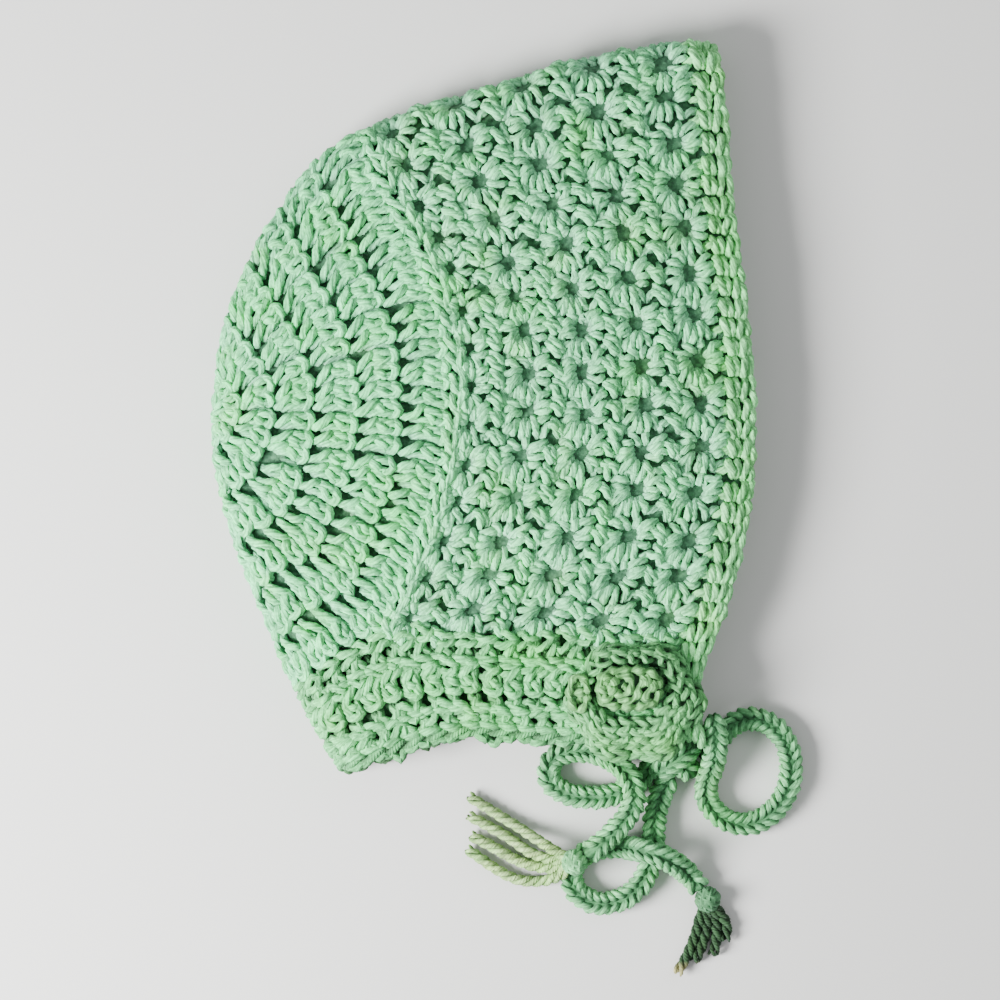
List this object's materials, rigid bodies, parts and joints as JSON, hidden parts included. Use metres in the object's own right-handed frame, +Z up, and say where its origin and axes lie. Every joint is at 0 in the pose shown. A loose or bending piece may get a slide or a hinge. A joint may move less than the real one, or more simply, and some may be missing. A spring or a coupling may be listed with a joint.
{
  "type": "crochet baby bonnet",
  "caption": "Crochet baby bonnet with a round back, star stitch sides, a flower and tasselled ties, lying folded flat on its side.",
  "frame": {"origin": "under the middle of the bonnet's own box, on the surface it lies on, ties and tassels not counted", "axes": "+X from the round back to the face opening, +Y from the neck edge to the peak, +Z up from the surface, out of the side that shows"},
  "size_m": [0.1464, 0.2331, 0.0214],
  "materials": {
    "yarn_fabric": "mint green plied yarn, matt",
    "yarn_edging": "pale mint plied yarn, matt",
    "yarn_flower": "mint green plied yarn, matt",
    "yarn_tie": "mint green plied yarn, matt",
    "yarn_end": "loose plied yarn ends, slightly yellowish, matt"
  },
  "bodies": {
    "root": {"crown": "yarn_fabric", "star_sides": "yarn_fabric", "front_edging": "yarn_edging", "neck_band": "yarn_fabric", "flower": "yarn_flower", "bow_knot": "yarn_tie", "tie_loop_right": "yarn_tie", "tie_tail_left": "yarn_tie", "tie_tail_lower": "yarn_tie", "tassel_left": "yarn_end", "tassel_lower": "yarn_end"}
  },
  "joints": []
}
